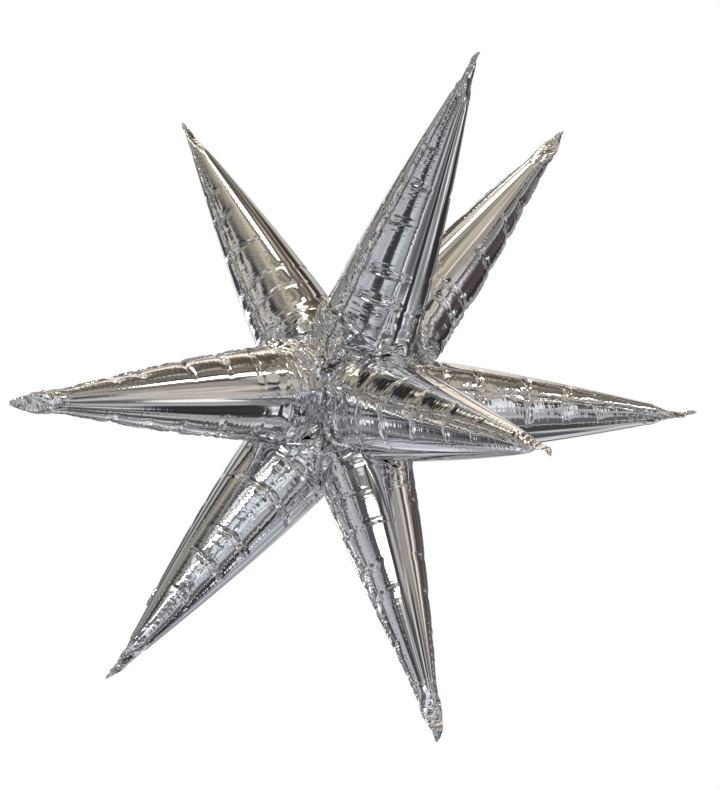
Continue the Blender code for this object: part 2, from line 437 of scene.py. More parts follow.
def facet_noise(x, y, seed, period=0):
    """Random flat facets with sharp edges, from -1 to 1, as crumpled foil has."""
    x = x + 0.35 * soft_noise(x * 1.7, y * 1.7, seed + 50, round(1.7 * period))
    y = y + 0.35 * soft_noise(x * 1.3 + 7, y * 1.3, seed + 51, round(1.3 * period))
    a, b, c, d, tx, ty = cell_corners(x, y, seed, period)
    near = a + tx * (b - a) + ty * (c - a)
    far = d + (1 - tx) * (c - d) + (1 - ty) * (b - d)
    return np.where(tx + ty < 1, near, far)


def bump(distance, width):
    """A round swelling: 1 in the middle, nearly 0 two widths away."""
    return np.exp(-((distance / width) ** 2))


def crease(distance, width):
    """A sharp fold line: 1 on the line itself, falling off on both sides."""
    return np.exp(-np.abs(distance) / width)


sample = facet_noise(np.linspace(0, 99, 999), 0.5, 1)
print(f"facets from {sample.min():.2f} to {sample.max():.2f}")

# %% [markdown]
# From here on the film is measured in millimetres, and a tuck is placed by its distance from the
# cone's point. The main tucks lie about 40 mm apart and run far round the cone. Between them lie short
# ones along the seam, closer together near the point.

# %% Where the tucks are
MAIN_TUCKS = (98, 136, 174, 217, 258, 290, 318)
MAIN_SHIFT = 4.5
PART_TUCKS = (40.0, 290)
PART_TUCK_STEP = 19.0
# how far round a tuck runs, in degrees: least and most at the point, and what each millimetre adds
MAIN_REACH = (15, 35)
MAIN_REACH_GROWS = (0.20, 0.32)
PART_REACH = (6, 24)
# how far a tuck's line bows, leans and wavers as it runs round the cone
BOW, LEAN, WAVER = (-2, 8), 2.0, 1.2
# how deep one tuck is beside another
DEPTHS = (0.6, 1.3)
# the cone's radius from which on a tuck is as deep as it gets
FULL_TUCK_RADIUS = 34
# depths and widths of the two folds of a main tuck, of the waist round it, and of a short tuck
SECOND_FOLD = 0.7
MAIN_DEPTH, MAIN_WIDTH = 1.1, 0.9
WAIST_DEPTH, WAIST_WIDTH = 1.1, 7.0
PART_DEPTH, PART_WIDTH = 0.7, 1.0
TUCK_SEED = 40
around_mm = turn[None, :] * row_radius[:, None] / MM
down_mm, tip_mm, radius_mm = (value[:, None] / MM for value in (film_down, from_tip, row_radius))


def from_seam(side):
    """Each column's angle from a seam, -pi to pi."""
    return (turn - side * math.pi + math.pi) % (2 * math.pi) - math.pi


def tuck_places(chance):
    """Each tuck's distance from the point, and whether it is a main one."""
    places = [(place + chance.normal(0, MAIN_SHIFT), True) for place in MAIN_TUCKS]
    place, last = PART_TUCKS
    while place < last:
        places.append((place, False))
        place += PART_TUCK_STEP * chance.uniform(0.6, 1.5) * (0.6 + place / 300)
    return places


def tuck_field(seed):
    """Heights of the tucks of both seams, in millimetres, and how creased the film is, 0 to 1."""
    chance = np.random.default_rng(seed)
    height = np.zeros((FINE_ROWS, FINE_AROUND))
    creased = np.zeros_like(height)

    def waver(long):
        """A soft change round the cone, new for each tuck."""
        return soft_noise(around_mm / long, down_mm / 60, int(chance.integers(1e6)))

    for side in (0, 1):
        angle = from_seam(side)[None, :]
        for place, main in tuck_places(chance):
            low, high = PART_REACH
            if main:
                low, high = (a + b * place for a, b in zip(MAIN_REACH, MAIN_REACH_GROWS))
            left, right = chance.uniform(low, high), chance.uniform(low, high)
            reach = np.radians(np.where(angle > 0, left, right))
            arc = place + chance.uniform(*BOW) * np.abs(angle) + chance.normal(0, LEAN) * angle
            off = tip_mm - (arc + WAVER * waver(9))
            size = np.clip(radius_mm / FULL_TUCK_RADIUS, 0.3, 1.0) * chance.uniform(*DEPTHS)
            strength = fade(np.abs(angle) / reach, 0.5, 1.0) * (1 + 0.4 * waver(6))
            if main:
                # the two folds come together and part again
                apart = 1.3 + 0.9 * waver(12)
                fold = crease(off - apart, MAIN_WIDTH) + SECOND_FOLD * crease(off + apart, MAIN_WIDTH)
                height -= size * MAIN_DEPTH * fold * strength
                height -= size * WAIST_DEPTH * crease(off, WAIST_WIDTH) * bump(angle, 0.8) * strength
                creased = np.maximum(creased, bump(off, 6) * strength)
            else:
                height -= size * strength * PART_DEPTH * crease(off, PART_WIDTH)
                creased = np.maximum(creased, bump(off, 4) * strength)
    return height, creased


print("tucks on the first cone's first seam:", len(tuck_places(np.random.default_rng(TUCK_SEED))))

# %% [markdown]
# The other wrinkles are random patterns, each in its own place: facets and dents beside the seam,
# long soft streaks down the cone, a crumpled end at the point, and at the round end pleats that run
# into the knot with crumpled foil over them. The pleated end also swells a little, which closes the
# dark gaps between neighbouring cones.

# %% Where the other wrinkles are
# each pattern is its height, its size round the cone and its size down it, in millimetres
SEAM_FACETS = (0.45, 3.5, 4.0)
SEAM_DENTS = (0.4, 20, 17)
BODY_DENTS = (0.10, 40, 60)
POINT_FACETS = (1.1, 5, 13)
BASE_FACETS = (3.3, 14, 12)
BASE_CRUMPLE = (0.5, 6, 6)
# two patterns join up round the cone: their height, how many go round, and how much of a streak lies
# in one millimetre down it, or how long a pleat is
STREAK_HEIGHT, STREAKS, STREAK_A_MM = 0.12, 20, 0.006
PLEAT_HEIGHT, PLEATS, PLEAT_LENGTH = 4.0, 20, 34
SEAM_LINE_DEPTH, SEAM_LINE_WIDTH = 0.5, 1.8
BASE_SWELL = 7.0
# where the crumpled point ends, and where the round end's pleats, swelling and fine crumple begin
POINT_OVER = (30, 66)
PLEATS_OVER = (274, 308)
SWELL_OVER = (270, 312)
CRUMPLE_OVER = (262, 306)
WRINKLE_SEED = 400


def pattern(noise, kind, seed, strength):
    """A random pattern of one kind, in millimetres."""
    high, wide, long = kind
    return high * strength * noise(around_mm / wide, down_mm / long, seed)


def wrinkle_field(seed):
    """Every other wrinkle, in millimetres, and how creased the film is by them, 0 to 1."""
    near = np.minimum(np.abs(from_seam(0)), np.abs(from_seam(1)))[None, :]
    seam_mm = near * radius_mm
    size = np.clip(radius_mm / FULL_TUCK_RADIUS, 0.35, 1.0)
    height = -SEAM_LINE_DEPTH * bump(seam_mm, SEAM_LINE_WIDTH)
    height += pattern(facet_noise, SEAM_FACETS, seed + 1, size) * bump(seam_mm, 3.2)
    height += pattern(soft_noise, SEAM_DENTS, seed + 2, size) * bump(seam_mm, 7)
    height += pattern(soft_noise, BODY_DENTS, seed + 3, size)
    round_streaks = turn[None, :] * STREAKS / (2 * math.pi)
    streaks = soft_noise(round_streaks, STREAK_A_MM * down_mm, seed + 4, STREAKS)
    height += STREAK_HEIGHT * size * streaks
    point_end = fade(tip_mm, *POINT_OVER)
    height += pattern(facet_noise, POINT_FACETS, seed + 5, point_end)
    base = 1 - fade(tip_mm, *PLEATS_OVER)
    height += BASE_SWELL * (1 - fade(tip_mm, *SWELL_OVER))
    round_pleats = PLEATS * (turn[None, :] / (2 * math.pi))
    pleats = facet_noise(round_pleats, down_mm / PLEAT_LENGTH, seed + 7, PLEATS)
    height += PLEAT_HEIGHT * base * pleats
    height += pattern(facet_noise, BASE_FACETS, seed + 8, base)
    height += pattern(facet_noise, BASE_CRUMPLE, seed + 9, 1 - fade(tip_mm, *CRUMPLE_OVER))
    return height, np.maximum(np.maximum(point_end, base), 0.5 * fade(near, 0.4, 1.35))


print(f"wrinkles and swelling up to {wrinkle_field(WRINKLE_SEED)[0].max():.1f} mm high")

# %% [markdown]
# Each point ends in a flat piece of film, mostly rolled up. On three cones it lies open, so the panels
# end wider there, and on three it has turned on itself, so that its flat side shows.

# %% Press the tucks into the film
# how many times wider the end is, and from where to where along the cone that fades, in millimetres
OPEN_POINTS = {"spike_02": 1.2, "spike_04": 1.5, "spike_08": 1.45}
OPEN_OVER = (8, 62)
# how far the end has turned, in radians, and where that fades
TURNED_POINTS = {"spike_05": 1.0, "spike_06": 0.65, "spike_07": 1.0}
TURNED_OVER = (6, 85)
# the wrinkles grow from nothing over the film's first and last rows
FIRST_ROWS = np.array([0, 0.3, 0.7])[:, None]


def surface_normals(points):
    """Outward directions at every point of one cone's net."""
    along = np.gradient(points, axis=0)
    round_it = (np.roll(points, -1, axis=1) - np.roll(points, 1, axis=1)) / 2
    return unit(np.cross(along, round_it) + 1e-12)


def shape_point(points, cone, name):
    """Turns the end of one cone's film about the cone's axis, and spreads it along the seam."""
    turned = TURNED_POINTS.get(name, 0.0) * fade(tip_mm, *TURNED_OVER)
    from_end = points - points[0].mean(axis=0)
    beside, over = from_end @ cone["seam"], from_end @ cone["broad"]
    along_seam = beside * (np.cos(turned) - 1) - over * np.sin(turned)
    along_broad = beside * np.sin(turned) + over * (np.cos(turned) - 1)
    points += along_seam[..., None] * cone["seam"]
    points += along_broad[..., None] * cone["broad"]
    widen = (OPEN_POINTS.get(name, 1.0) - 1) * fade(tip_mm, *OPEN_OVER)
    beside = (points - cone["point"]) @ cone["seam"]
    points += (widen * beside)[..., None] * cone["seam"]


creases = []
for k, name in enumerate(CONE_NAMES):
    shape_point(film_points[k], cones[k], name)
    tucks, creased = tuck_field(TUCK_SEED + k)
    wrinkles, rough = wrinkle_field(WRINKLE_SEED + 10 * k)
    height = (tucks + wrinkles) * MM
    height[:3] *= FIRST_ROWS
    height[-3:] *= FIRST_ROWS[::-1]
    film_points[k] += surface_normals(film_points[k]) * height[..., None]
    creases.append(np.maximum(creased, rough))
hold_back(film_points)
print("tucks pressed into", len(creases), "cones")

# %% [markdown]
# ## The welded edge
#
# Outside each seam line a narrow strip of film is left over from the weld, and it stands out from the
# cone like a fin. The strip is longer than the blown seam, so it ruffles, and it dips in at each tuck.

# %% The fins
FIN = 2.8 * MM
FIN_COLUMNS = 4
# the ruffle, the lean and the uneven edge: how long one wave is, and its seed
RUFFLE_LENGTH, RUFFLE_SEED = 13 * MM, 900
LEAN_LENGTH, LEAN_SEED = 45 * MM, 950
EDGE_LENGTH, EDGE_SEED = 16 * MM, 930
# how much the rim ruffles, in radians, how uneven it is, and how much of the width a tuck takes
RUFFLE, UNEVEN, DIP = 0.35, 0.12, 0.3
# how far from the point and from the neck the fin is narrower, and the least share left there
NARROW_AT_POINT, LEAST_AT_POINT = 70 * MM, 0.15
NARROW_AT_NECK, LEAST_AT_NECK = 110 * MM, 0.3


def along_fin(length, row, seed):
    """A soft random change down the fin, with a wave about every length."""
    return soft_noise(film_down / length, row, seed)


def fin_points(k, side):
    """A strip from the seam line outwards, one row for each row of the film."""
    cone = cones[k]
    column = side * HALF_AROUND
    line = film_points[k][:, column]
    out = cone["seam"] * (1 if side else -1)
    fin = 2 * k + side
    ruffle = along_fin(RUFFLE_LENGTH, 0, RUFFLE_SEED + fin)
    lean = along_fin(LEAN_LENGTH, 1, LEAN_SEED + fin)
    uneven = 1 + UNEVEN * along_fin(EDGE_LENGTH, 1, EDGE_SEED + fin)
    width = FIN * (1 - DIP * creases[k][:, column]) * uneven
    width = width * np.clip(from_tip / NARROW_AT_POINT, LEAST_AT_POINT, 1)
    width = width * np.clip((film[-1] - film_down) / NARROW_AT_NECK, LEAST_AT_NECK, 1)
    strip = []
    for step in np.linspace(0, 1, FIN_COLUMNS + 1):
        swing = lean + RUFFLE * step * ruffle
        along_out = width * step * np.cos(swing)
        sideways = width * step * np.sin(swing)
        strip.append(line + out * along_out[:, None] + cone["broad"] * sideways[:, None])
    return np.stack(strip, axis=1)


print(f"fins: {2 * len(cones)}, up to {FIN / MM:.1f} mm wide")

# %% [markdown]
# The point itself is the flat welded tab. It is bent, twisted and folded a little along its middle, as
# the film is there after packing and handling.

# %% The tab
TAB_ROWS = 28
TAB_COLUMNS = 12
# the share of the tab that is rounded off, and the least that this leaves of its width
TAB_ROUND = 0.25
TAB_END = 0.2
# how much of its width the tab loses along its length, and less on a blunt one
TAPER = 0.75
BLUNT_POINTS = {"spike_06": 0.6}
CRIMP = 0.7 * MM
# how far a tab twists, in radians, and folds; on a turned point only this share of the twist is left
TWISTS, FOLDS = (-0.9, 0.9), (0.2, 0.8)
TWIST_LEFT = 0.3
TAB_SEED, CRIMP_SEED = 700, 720


def tab_points(k):
    """The flat end of the point: from the first row of the film to the point's own place."""
    cone, name = cones[k], CONE_NAMES[k]
    chance = np.random.default_rng(TAB_SEED + k)
    twist, fold = chance.uniform(*TWISTS), chance.uniform(*FOLDS)
    turned_by = TURNED_POINTS.get(name, 0.0)
    twist_left = TWIST_LEFT if turned_by else 1
    widest = TAB_HALF_WIDTH * OPEN_POINTS.get(name, 1.0)
    taper = BLUNT_POINTS.get(name, TAPER)
    base = film_points[k][0].mean(axis=0)
    reach = np.linalg.norm(cone["point"] - base)
    places = np.linspace(-1, 1, TAB_COLUMNS)
    strip = []
    for t in np.linspace(0, 1, TAB_ROWS):
        middle = base + cone["axis"] * reach * t * (1 - t) + (cone["point"] - base) * t * t
        past_round = max((t - (1 - TAB_ROUND)) / TAB_ROUND, 0)
        rounded = math.sqrt(max(1 - past_round**2, TAB_END**2))
        half = widest * (1.05 - taper * t) * rounded
        turned = turned_by + twist * t * twist_left
        over = cone["seam"] * math.cos(turned) + cone["broad"] * math.sin(turned)
        up = cone["broad"] * math.cos(turned) - cone["seam"] * math.sin(turned)
        crimp = CRIMP * crisp_noise(places * 1.6 + 9, t * 4, CRIMP_SEED + k) * min(1, 4 * t)
        lift = half * fold * np.abs(places + 0.2) * min(1, 3 * t) + crimp
        strip.append(middle + places[:, None] * half * over + lift[:, None] * up)
    return np.array(strip)


print(f"tabs: {len(cones)}, each {TAB / MM:.0f} mm long")

# %% [markdown]
# Each cone is one mesh of four-sided faces: the blown film, a fin along each seam and the tab. Its UV
# map is the film laid flat, so a pattern in the material keeps its size all over the cone.

# %% Build the meshes
UV_UNIT = 100 * MM
# how many UV units one cone's pattern lies from the next one's
UV_APART = 0.9
BLOWN_SLOT, SEALED_SLOT = 0, 1
whole_turn = np.append(turn, 2 * math.pi)


def grid_faces(rows, columns, closed, first=0):
    """The corner numbers of each face. In a closed grid the last column meets the first."""
    beside_count = columns if closed else columns - 1
    i, j = np.meshgrid(np.arange(rows - 1), np.arange(beside_count), indexing="ij")
    beside = (j + 1) % columns
    here, below = i * columns, (i + 1) * columns
    return np.stack([here + j, below + j, below + beside, here + beside], -1).reshape(-1, 4) + first


def face_uvs(u, v):
    """The UV corners of each face, from the u and v of each column and row."""
    uv = np.stack(np.broadcast_arrays(u, v), -1)
    return np.stack([uv[:-1, :-1], uv[1:, :-1], uv[1:, 1:], uv[:-1, 1:]], -2).reshape(-1, 2)


def mesh_from(name, points, faces, uvs, creased, slots):
    """A mesh of four-sided faces with the film's own millimetres as its UV map."""
    mesh = bpy.data.meshes.new(name)
    mesh.vertices.add(len(points))
    mesh.vertices.foreach_set("co", points.astype(np.float32).ravel())
    mesh.loops.add(faces.size)
    mesh.loops.foreach_set("vertex_index", faces.ravel().astype(np.int32))
    mesh.polygons.add(len(faces))
    mesh.polygons.foreach_set("loop_start", np.arange(0, faces.size, 4, dtype=np.int32))
    mesh.update(calc_edges=True)
    mesh.polygons.foreach_set("use_smooth", np.ones(len(faces), bool))
    mesh.polygons.foreach_set("material_index", slots.astype(np.int32))
    layer = mesh.uv_layers.new(name="film")
    layer.data.foreach_set("uv", uvs.astype(np.float32).ravel())
    mark = mesh.attributes.new("creased", "FLOAT", "POINT")
    mark.data.foreach_set("value", creased.astype(np.float32).ravel())
    mesh.update()
    return mesh


def build_cone(k, name):
    """One cone's film, fins and tab as one mesh, which takes the place of the cone's solid."""
    film_u = (whole_turn * row_radius[:, None] + UV_APART * k * UV_UNIT) / UV_UNIT
    film_v = film_down[:, None] / UV_UNIT
    fin_u = np.arange(FIN_COLUMNS + 1) / FIN_COLUMNS * FIN / UV_UNIT
    tab_u = np.arange(TAB_COLUMNS) / (TAB_COLUMNS - 1) * 2 * TAB_HALF_WIDTH / UV_UNIT
    tab_v = np.arange(TAB_ROWS)[:, None] / (TAB_ROWS - 1) * TAB / UV_UNIT
    fins = [fin_points(k, side) for side in (0, 1)]
    tab = tab_points(k)
    sheets = [(film_points[k], True, film_u, film_v, creases[k], BLOWN_SLOT)]
    sheets += [(fin, False, fin_u, film_v, np.ones(fin.shape[:2]), SEALED_SLOT) for fin in fins]
    sheets += [(tab, False, tab_u, tab_v, np.ones(tab.shape[:2]), SEALED_SLOT)]
    parts = []
    count = 0
    for grid, closed, u, v, creased, slot in sheets:
        rows, columns = grid.shape[:2]
        faces = grid_faces(rows, columns, closed, count)
        slots = np.full(len(faces), slot)
        parts.append((grid.reshape(-1, 3), faces, face_uvs(u, v), creased.reshape(-1), slots))
        count += rows * columns
    mesh = mesh_from("foil_" + name, *(np.concatenate(part) for part in zip(*parts)))
    piece = bpy.data.objects.new("foil_" + name, mesh)
    bpy.context.collection.objects.link(piece)
    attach(piece, "root")
    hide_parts(name)
    return piece


pieces = [build_cone(k, name) for k, name in enumerate(CONE_NAMES)]
triangles = sum(2 * len(piece.data.polygons) for piece in pieces)
print("foil cones:", len(pieces), "with", triangles, "triangles")

# %% [markdown]
# ## The film's finish
#
# The film is nylon or polyester with a coat of aluminium vapour a few hundredths of a micron thick,
# which makes it a mirror. What the eye reads as foil is the fine crinkle across the seams, which
# breaks each reflection into dashes.

# %% Colours and nodes
def linear(code):
    """An sRGB hex colour as Blender's linear values."""
    parts = [int(code[i : i + 2], 16) / 255 for i in (1, 3, 5)]
    parts = [part / 12.92 if part <= 0.04045 else ((part + 0.055) / 1.055) ** 2.4 for part in parts]
    return (*parts, 1.0)


def add(tree, kind, links=None, values=None, **settings):
    """Adds a node with its settings, fixed values and incoming links."""
    node = tree.nodes.new(kind)
    for key, value in settings.items():
        setattr(node, key, value)
    for key, value in (values or {}).items():
        node.inputs[key].default_value = value
    for key, socket in (links or {}).items():
        tree.links.new(socket, node.inputs[key])
    return node


def new_material(name):
    """A material with its node tree and its shader."""
    material = bpy.data.materials.new(name)
    material.use_nodes = True
    tree = material.node_tree
    return material, tree, tree.nodes["Principled BSDF"]


print("middle grey on a screen is", round(linear("#808080")[0], 3), "in linear light")

# %% Film for the cones
# one UV unit is 100 mm, so a ripple is 20 mm long round the cone and comes every 3.6 mm down it, and
# a cloud in the coat, which dulls it a little, is about 17 mm across
RIPPLE_SCALE = (5, 28, 1)
CLOUD_SCALE = 6.0
# how strong the ripple is where the film isn't creased at all
SMOOTH_RIPPLE = 0.02
CRINKLE_DEPTH = 0.5 * MM


def film_material(name, colour, roughness, crinkle):
    """Metallised film: its two tones, its least and most roughness, and how crinkled a crease is."""
    material, tree, shader = new_material(name)
    shader.inputs["Metallic"].default_value = 1.0
    uv = add(tree, "ShaderNodeUVMap", uv_map="film")
    mark = add(tree, "ShaderNodeAttribute", attribute_name="creased")
    place = add(tree, "ShaderNodeMapping", {"Vector": uv.outputs[0]}, {"Scale": RIPPLE_SCALE})
    ripple = add(
        tree, "ShaderNodeTexNoise", {"Vector": place.outputs[0]}, {"Scale": 1.0, "Detail": 1.0},
    )
    strength = add(
        tree, "ShaderNodeMath", {0: mark.outputs["Fac"]}, {1: crinkle, 2: SMOOTH_RIPPLE},
        operation="MULTIPLY_ADD",
    )
    crinkled = add(
        tree, "ShaderNodeBump",
        {"Height": ripple.outputs["Fac"], "Strength": strength.outputs[0]}, {"Distance": CRINKLE_DEPTH},
    )
    cloud = add(
        tree, "ShaderNodeTexNoise", {"Vector": uv.outputs[0]}, {"Scale": CLOUD_SCALE, "Detail": 3.0},
    )
    tone = add(tree, "ShaderNodeMix", {"Factor": cloud.outputs["Fac"]}, data_type="RGBA")
    tone.inputs["A"].default_value = linear(colour[0])
    tone.inputs["B"].default_value = linear(colour[1])
    haze = add(
        tree, "ShaderNodeMapRange", {"Value": cloud.outputs["Fac"]},
        {"To Min": roughness[0], "To Max": roughness[1]},
    )
    tree.links.new(tone.outputs["Result"], shader.inputs["Base Color"])
    tree.links.new(haze.outputs[0], shader.inputs["Roughness"])
    tree.links.new(crinkled.outputs[0], shader.inputs["Normal"])
    return material


# the blown film is a clean mirror; the welded edge was pressed between hot bars, which dulls it
mirror_film = film_material(
    "vapour metallised nylon film", ("#dcdcde", "#ececec"), roughness=(0.02, 0.06), crinkle=1.0,
)
sealed_film = film_material(
    "heat sealed film edge", ("#cfcfd0", "#e2e2e2"), roughness=(0.10, 0.20), crinkle=0.6,
)
for piece in pieces:
    piece.data.materials.append(mirror_film)
    piece.data.materials.append(sealed_film)
print("film on", len(pieces), "cones")

# %% [markdown]
# ## The tails and the knot
#
# At the hub every cone narrows to a flat filling tail, and the tails are tied together. They are the
# same film, welded flat and pulled tight, so they are duller and creased along their length. They have
# no net of their own, so their creases are placed by the piece's own millimetres. The knot is thin
# plastic ribbon, wound round and tied.

# %% Film for the tails
# the pieces are in metres, so a scale of 300 is a crease about every 3 mm
TAIL_CREASES = 300.0


def relief_with_painted_shade(tree, shader, pattern, colours, strength):
    """Lets one pattern set both the tone and the relief of a surface, darker where the relief is low:
    painted shade in its hollows.
    """
    tone = add(tree, "ShaderNodeMix", {"Factor": pattern}, data_type="RGBA")
    tone.inputs["A"].default_value = linear(colours[0])
    tone.inputs["B"].default_value = linear(colours[1])
    relief = add(
        tree, "ShaderNodeBump", {"Height": pattern}, {"Strength": strength, "Distance": CRINKLE_DEPTH},
    )
    tree.links.new(tone.outputs["Result"], shader.inputs["Base Color"])
    tree.links.new(relief.outputs[0], shader.inputs["Normal"])


tail_film, tree, shader = new_material("gathered film tail")
shader.inputs["Metallic"].default_value = 1.0
place = add(tree, "ShaderNodeTexCoord")
folds = add(
    tree, "ShaderNodeTexNoise",
    {"Vector": place.outputs["Object"]}, {"Scale": TAIL_CREASES, "Detail": 2.0},
)
# the darker tone lies in the creases' low parts: painted shade in the folds
relief_with_painted_shade(tree, shader, folds.outputs["Fac"], ("#c4c4c6", "#e4e4e4"), 0.6)
haze = add(
    tree, "ShaderNodeMapRange", {"Value": folds.outputs["Fac"]}, {"To Min": 0.12, "To Max": 0.24},
)
tree.links.new(haze.outputs[0], shader.inputs["Roughness"])
print("made", tail_film.name)

# %% Ribbon for the knot
# a turn of ribbon about every 4 mm up the knot
RIBBON_TURNS = 80.0
ribbon, tree, shader = new_material("curling ribbon")
shader.inputs["Roughness"].default_value = 0.3
place = add(tree, "ShaderNodeTexCoord")
turns = add(
    tree, "ShaderNodeTexWave",
    {"Vector": place.outputs["Object"]}, {"Scale": RIBBON_TURNS, "Distortion": 3.0},
    bands_direction="Z",
)
# the darker tone lies in the grooves between the turns: painted shade between them
relief_with_painted_shade(tree, shader, turns.outputs["Fac"], ("#a9a9ad", "#dcdcde"), 0.7)
print("made", ribbon.name)

# %% Dress the tails and the knot
for name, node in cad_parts.items():
    if name not in CONE_NAMES:
        for slot in node.material_slots:
            slot.material = ribbon if name == "tie_knot" else tail_film
        print(name, "has", len(node.material_slots), "slot")

# %% [markdown]
# ## The room
#
# A mirror shows nothing but its surroundings, so the room is half of this picture. It is a large ball
# round the balloon that only reflections see. Its colours are painted on its own net of points, which
# renders far faster than the same room drawn with nodes.

# %% The room's net
ROOM_ROWS = 121
ROOM_COLUMNS = 240
ROOM_RADIUS = 12.0


def heading(azimuth, elevation):
    """A direction from its heading, 0 behind the camera and 90 on the right, and its height."""
    a, e = np.radians(azimuth), np.radians(elevation)
    return np.stack([np.sin(a) * np.cos(e), -np.cos(a) * np.cos(e), np.sin(e) + 0 * a], axis=-1)


room_azimuth, room_elevation = np.meshgrid(
    np.arange(ROOM_COLUMNS) * 360 / ROOM_COLUMNS, np.linspace(-90, 90, ROOM_ROWS)
)
room_ways = heading(room_azimuth, room_elevation).reshape(-1, 3)
print("room points:", len(room_ways))

# %% [markdown]
# The walls change in tone with height. On them lie soft patches of light and shade, each at a heading
# and a height. The room isn't invented: the patches were listed after tones measured in the
# photograph, at the headings that the film reflects there, and then changed one by one.

# %% Patches of light and shade
def paint(colours, azimuth, elevation, width, height, code, soft=0.4, roll=0, light=1.0):
    """Lays one patch over the room. Its half width, half height and tilt are in degrees."""
    middle = heading(azimuth, elevation)
    side = unit(np.cross((0, 0, 1.0), middle))
    up = np.cross(middle, side)
    r = math.radians(roll)
    across_way = room_ways @ (side * math.cos(r) + up * math.sin(r)) / math.sin(math.radians(width))
    up_way = room_ways @ (up * math.cos(r) - side * math.sin(r)) / math.sin(math.radians(height))
    inside = fade(across_way**4 + up_way**4, 1 - soft, 1 + soft) * (room_ways @ middle > 0)
    return colours + inside[:, None] * (light * np.array(linear(code)[:3]) - colours)


# each wall tone's height in degrees, and its colour
WALLS = (
    (-90, "#909092"), (-24, "#8c8c8e"), (0, "#858587"),
    (14, "#828282"), (44, "#8a8780"), (90, "#9c978c"),
)
# heading, height, half width, half height and colour, and where they aren't 0.4, 0 and 1 also the
# edge's softness, the tilt and the light
CEILING = (
    (0, 89.9, 14, 5, "#f6f0e6", 0.3, 0, 0.75),
    (-30, 66, 45, 9, "#969182", 0.6),
    (25, 62, 14, 8, "#9c9889", 0.5),
    (44, 40, 5, 7, "#b2aaa0", 0.4, -55),
    (112, 63, 9, 4.5, "#8c8478"),
    (138, 61, 14, 5, "#776a58", 0.5),
    (138, 45, 8, 6, "#645a50", 0.5, -40),
    (173, 43, 12, 7, "#b2aa9e", 0.5),
    (170, 57, 8, 4, "#7c7262", 0.5),
    (-150, 38, 14, 9, "#6e6a62", 0.5),
    (-161, 52, 6, 4.5, "#f4f2f0", 0.4, 0, 0.8),
    (-147, 46, 6, 4, "#7c7a76"),
    (-121, 70, 14, 5, "#a29c92", 0.5),
    (-10, 77, 22, 4, "#9c988c", 0.5),
    (-122, 47, 11, 6, "#4a4743", 0.4, -33),
    (73, 50, 3.5, 6, "#fffaf0", 0.3, 60, 0.85),
)
BEHIND_CAMERA = (
    (42, 36, 26, 5.5, "#9a9694"),
    (6, 33.5, 5, 4, "#6c686a"),
    (-27, 37, 8, 5, "#a8a8aa", 0.4, 15),
    (-17, 26.5, 16, 4, "#ffffff", 0.3, 20, 0.7),
    (-42, 17, 10, 5.5, "#68666e", 0.4, 25),
    (-67, 3, 16, 8, "#9c9ca0"),
    (20, 1, 29, 9, "#a4a8ac", 0.5, -42),
    (36, 5, 5, 26, "#a2a2a4", 0.5),
    (60, 10, 6, 26, "#9c9892"),
    (61, -9, 6, 4, "#b6b6b2"),
    (-54, -6, 11, 8, "#a4a4aa", 0.4, -30),
    (-34, -38, 13, 9, "#5e5d63", 0.5),
    (-31, -19, 11, 7, "#605f66", 0.4, -27),
    (-4, -31, 15, 6, "#9a9ea0", 0.5, -20),
    (39, -38, 8, 5, "#7c7e80"),
)
RIGHT_SIDE = (
    (97, 23, 3, 7, "#b8aa9e", 0.4, -22),
    (86, 28.5, 4, 6, "#6a625e", 0.4, -20),
    (128, 27, 12, 8, "#786e6c", 0.5),
    (120, 14, 12, 6, "#6e6462", 0.4, -24),
    (146, 5, 14, 6, "#746d6e", 0.4, -17),
    (103, -6, 24, 7, "#6e6264", 0.4, -20),
    (118, -40, 34, 5, "#9a9ca0"),
    (152, -30, 12, 5, "#9a9ca0", 0.4, 38),
    (92, -30, 8, 3.5, "#909294", 0.4, 18),
    (120, -21, 8, 5, "#5c5b60", 0.4, 25),
    (130, -12, 8, 6, "#5a5253", 0.4, 27),
    (139, -11, 5, 5, "#5c5956", 0.4, 27),
    (163, -4, 14, 6, "#747072", 0.5, 20),
    (60, -59, 9, 7, "#646464", 0.5, -30),
    (146, -59, 20, 8, "#9e9ea0"),
    (166, -50, 14, 9, "#9c9c9e", 0.5),
    (98, -61, 9, 5, "#9a9a9a", 0.5),
    (90, -69, 25, 4, "#707072", 0.5),
    (92, -48, 8, 5, "#565759", 0.5),
    (69, -37, 6, 14, "#545556", 0.4, 25),
    (47, -50, 7, 6, "#626264"),
)
LEFT_SIDE = (
    (-125, 17, 16, 5, "#88888a", 0.5),
    (-138, 19, 7, 6, "#7a7a7a", 0.4, 45),
    (-160, 13, 9, 6, "#a6a6a6", 0.5),
    (-171, 20, 6, 7, "#a6a6a4", 0.5),
    (-132, -1, 14, 4, "#666668"),
    (-156, -1, 9, 4, "#a8a8a8"),
    (-101, -16, 7, 7, "#666668"),
    (-114, -11, 10, 5, "#b4b4b8", 0.4, -12),
    (-171, -10, 10, 7, "#a6a6a8"),
    (-142, -12, 14, 6, "#fafafa", 0.3, 0, 0.7),
    (-177, -25, 9, 7, "#848486", 0.5),
    (-117, -29, 7, 5, "#5a5a5d", 0.4, -30),
    (-140, -36, 12, 6, "#a8a8ae"),
    (-154, -35, 5, 5, "#646468"),
    (-98, 5, 7, 4, "#b4b4b4", 0.3),
    (-102, 30, 6, 8, "#888886", 0.5),
    (-89, 16, 5, 8, "#b0aaa2", 0.3, 42),
    (-106, -19, 7, 6, "#7a7a7c"),
    (-120, -30, 6, 5, "#5e5e60"),
)
ROOM = CEILING + BEHIND_CAMERA + RIGHT_SIDE + LEFT_SIDE
print("room patches:", len(ROOM))

# %% [markdown]
# A real room also has edges everywhere: frames, shelves, folds and corners. They are what turns into
# the long bright and dark streaks along each cone. Cells of flat tone with straight edges stand for
# them: bold ones on the walls, which the patches partly cover, and fainter ones over everything, with
# a soft cloud on top.

